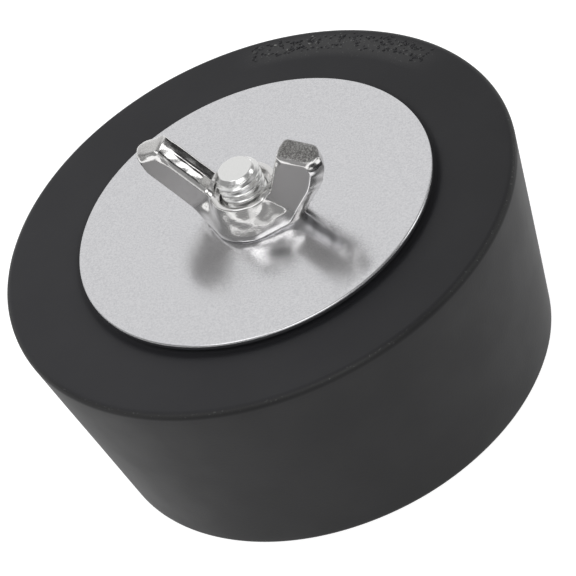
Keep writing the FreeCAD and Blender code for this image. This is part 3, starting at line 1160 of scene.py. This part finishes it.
    def build(self, material: bpy.types.Material, body: str) -> bpy.types.Object:
        """Mesh the distance, put the vertices on it, and mark the trimmed faces and the cropped ends.

        An end lies above a line that falls outwards from the inner top corner of its face. The end on -X
        is torn less than the other.

        Args:
            material: the forging.
            body: the body that it rides on.

        Returns:
            The piece.
        """
        low = np.array([-self.spread - 1.0, -self.hub_base_radius - 2.0, -1.0])
        high = np.array([self.spread + 1.0, self.hub_base_radius + 2.0, self.height + 1.0])
        x, y, z = [np.arange(a, b, self.pitch) for a, b in zip(low, high)]
        values = self.distance(x[:, None, None], y[None, :, None], z[None, None, :])
        points, quads = surface_nets(values, low, self.pitch)
        points = settle_on(points, self.distance)
        x, y, z = points.T
        half, side = self.gauge / 2, np.abs(y)
        on_face = smooth_step(half - 0.05, half - 0.01, side) * smooth_step(half + 0.08, half + 0.03, side)
        trimmed = on_face * smooth_step(0.0, -0.1, self.edge_distance(x, z))
        above = []
        for out, (inner, top, slope) in ((x, self.right_end), (-x, self.left_end)):
            above.append(slope * (out - inner) + (z - top))
        past_end = smooth_step(0.25, 0.45, np.where(x > 0.0, *above))
        cropped = past_end * smooth_step(12.0, 12.5, np.abs(x)) * np.where(x > 0.0, 1.0, self.left_tearing)
        points[:, 2] += self.base
        piece = make_piece("wing_nut_forging", points, quads, crease=180.0)
        write_attribute(piece, "trimmed", trimmed)
        write_attribute(piece, "cropped", cropped)
        dress(piece, material, body, "wing_nut")
        return piece


# ---------------------------------------------------------------- the studio


@dataclass(frozen=True)
class Panel:
    """A soft light panel, or a flag where its strength is negative, with its angles in degrees."""

    azimuth: float
    elevation: float
    inner: float
    outer: float
    strength: float


@dataclass
class Studio:
    """A pale floor, soft lights and the camera, which is aimed at centre from distance times unit, in metres.

    across and up move the camera sideways, in the same unit, so that the plug stands off the middle.
    """

    centre: Vector
    unit: float = 0.054
    azimuth: float = 39.86
    elevation: float = 39.64
    roll: float = -26.19
    distance: float = 22.875
    lens: float = 380.6
    across: float = 0.0327
    up: float = -0.0287
    film_width: float = 36.0
    floor_reach: float = 1.5
    floor_drop: float = 0.05
    floor_glow: float = 0.9
    level: float = 0.31
    least_level: float = 0.03
    panels: tuple[Panel, ...] = (
        Panel(215.0, 35.0, 40.0, 65.0, 0.59),
        Panel(335.0, 62.0, 10.0, 17.0, 1.8),
        Panel(125.0, 26.0, 9.0, 13.0, 2.2),
        Panel(0.0, 90.0, 10.0, 40.0, 0.2),
        Panel(40.0, 44.0, 12.0, 27.0, 1.7),
        Panel(30.0, 4.0, 7.0, 12.0, 0.5),
        Panel(60.0, 76.0, 8.0, 24.0, -0.4),
        Panel(98.0, 20.0, 8.0, 14.0, -0.35),
        Panel(150.0, 3.0, 10.0, 20.0, -0.28),
        Panel(165.0, 55.0, 10.0, 20.0, -0.5),
        Panel(320.0, 35.0, 30.0, 55.0, 0.03),
    )

    def direction(self, azimuth: float, elevation: float) -> Vector:
        """Point to an azimuth, 0 being -Y and 90 being +X, and an elevation.

        Args:
            azimuth: angle round Z, in degrees.
            elevation: angle above the floor, in degrees.

        Returns:
            A unit vector.
        """
        a, e = math.radians(azimuth), math.radians(elevation)
        return Vector((math.sin(a) * math.cos(e), -math.cos(a) * math.cos(e), math.sin(e)))

    def camera(self) -> None:
        """Set up a long lens that looks down on the plug, rolled so that the plug leans."""
        back = self.direction(self.azimuth, self.elevation)
        round_z, roll = math.radians(self.azimuth), math.radians(self.roll)
        right = Vector((math.cos(round_z), math.sin(round_z), 0.0))
        upright = back.cross(right)
        c, s = math.cos(roll), math.sin(roll)
        x_axis, y_axis = right * c + upright * s, upright * c - right * s
        offset = back * self.distance - x_axis * self.across - y_axis * self.up
        data = bpy.data.cameras.new("camera")
        data.lens = self.lens
        data.sensor_width = self.film_width
        data.clip_end = 20.0
        camera = bpy.data.objects.new("camera", data)
        turn = Matrix((x_axis, y_axis, back)).transposed().to_4x4()
        camera.matrix_world = Matrix.Translation(self.centre + offset * self.unit) @ turn
        bpy.context.scene.collection.objects.link(camera)
        bpy.context.scene.camera = camera

    def floor(self) -> None:
        """Lay a matte card under the plug, which gives off light of its own and so comes out white."""
        sides = ((-1, -1), (1, -1), (1, 1), (-1, 1))
        corners = [(x * self.floor_reach, y * self.floor_reach, -self.floor_drop * MM) for x, y in sides]
        mesh = bpy.data.meshes.new("floor")
        mesh.from_pydata(corners, [], [(0, 1, 2, 3)])
        floor = bpy.data.objects.new("floor", mesh)
        bpy.context.scene.collection.objects.link(floor)
        material = bpy.data.materials.new("floor_card")
        material.use_nodes = True
        shader = material.node_tree.nodes["Principled BSDF"]
        shader.inputs["Base Color"].default_value = linear("#b4b4b4")
        shader.inputs["Roughness"].default_value = 0.9
        shader.inputs["Specular IOR Level"].default_value = 0.0
        shader.inputs["Emission Color"].default_value = linear("#ffffff")
        shader.inputs["Emission Strength"].default_value = self.floor_glow
        floor.data.materials.append(material)

    def dome(self) -> None:
        """Light the world as a studio: an even level, with soft panels that add light and flags that take it.

        A panel's strength falls from full at its inner angle to nothing at its outer one, as a smooth step
        in the cosine of the angle from its middle.
        """
        world = bpy.data.worlds.new("studio")
        world.use_nodes = True
        tree = world.node_tree
        toward = add_node(tree, "ShaderNodeTexCoord").outputs["Generated"]
        level = None
        for panel in self.panels:
            middle = self.direction(panel.azimuth, panel.elevation)
            cosine = add_node(tree, "ShaderNodeVectorMath",
                              {"operation": "DOT_PRODUCT", 0: toward, 1: middle})
            fall = add_node(tree, "ShaderNodeMapRange", SMOOTH, Value=cosine.outputs["Value"],
                            From_Min=math.cos(math.radians(panel.outer)),
                            From_Max=math.cos(math.radians(panel.inner)), To_Min=0.0, To_Max=panel.strength)
            added = {"operation": "ADD", 0: self.level if level is None else level}
            level = add_node(tree, "ShaderNodeMath", {**added, 1: fall.outputs["Result"]}).outputs["Value"]
        lit = add_node(tree, "ShaderNodeMath", {"operation": "MAXIMUM", 0: level, 1: self.least_level})
        background = tree.nodes["Background"]
        background.inputs["Color"].default_value = linear("#ffffff")
        tree.links.new(lit.outputs["Value"], background.inputs["Strength"])
        bpy.context.scene.world = world

    def build(self) -> None:
        """Set the view transform, the dome, the floor and the camera."""
        bpy.context.scene.view_settings.view_transform = "Standard"
        self.dome()
        self.floor()
        self.camera()


def main() -> None:
    """Build the plug's pieces in order, then the studio."""
    logging.basicConfig(level=logging.INFO, format="%(name)s: %(message)s")
    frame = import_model()
    rubber_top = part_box("rubber_body")[1].z / MM
    upper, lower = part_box("upper_plate"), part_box("lower_plate")
    bolt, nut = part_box("carriage_bolt"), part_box("wing_nut")
    materials = {stock: stock.value.material() for stock in Stock}
    slide = next(joint for joint in frame["joints"] if joint["name"] == "plate_slide")
    stopper = RubberStopper(rubber_top)
    travel = -slide["range_m"][0] / MM
    squash = {
        "joint": "plate_slide",
        "axis": (0, 0, 1),
        "anchor": (0, 0, stopper.recess_depth * MM),
        "keep": 1.0 - travel / (rubber_top - stopper.recess_depth),
    }
    stopper.build(materials[Stock.RUBBER], squash)
    stopper.build_pips(materials[Stock.RUBBER])
    clearance_hole, square_hole = 5.16, 4.9
    Plate("upper_plate_disc", upper[0].z / MM, upper[1].z / MM, upper[1].x / MM, clearance_hole,
          dish=0.7).build(materials[Stock.SHEET], "upper_plate")
    Plate("lower_plate_disc", lower[0].z / MM, lower[1].z / MM, lower[1].x / MM, square_hole,
          square=True).build(materials[Stock.SHEET], "stopper")
    CarriageBolt(lower[0].z / MM).build(materials[Stock.BOLT], "stopper")
    WingNut(nut[0].z / MM).build(materials[Stock.FORGING], "wing_nut")
    Studio(Vector((0.0, 0.0, rubber_top * MM / 2))).build()


if __name__ == "__main__":
    main()
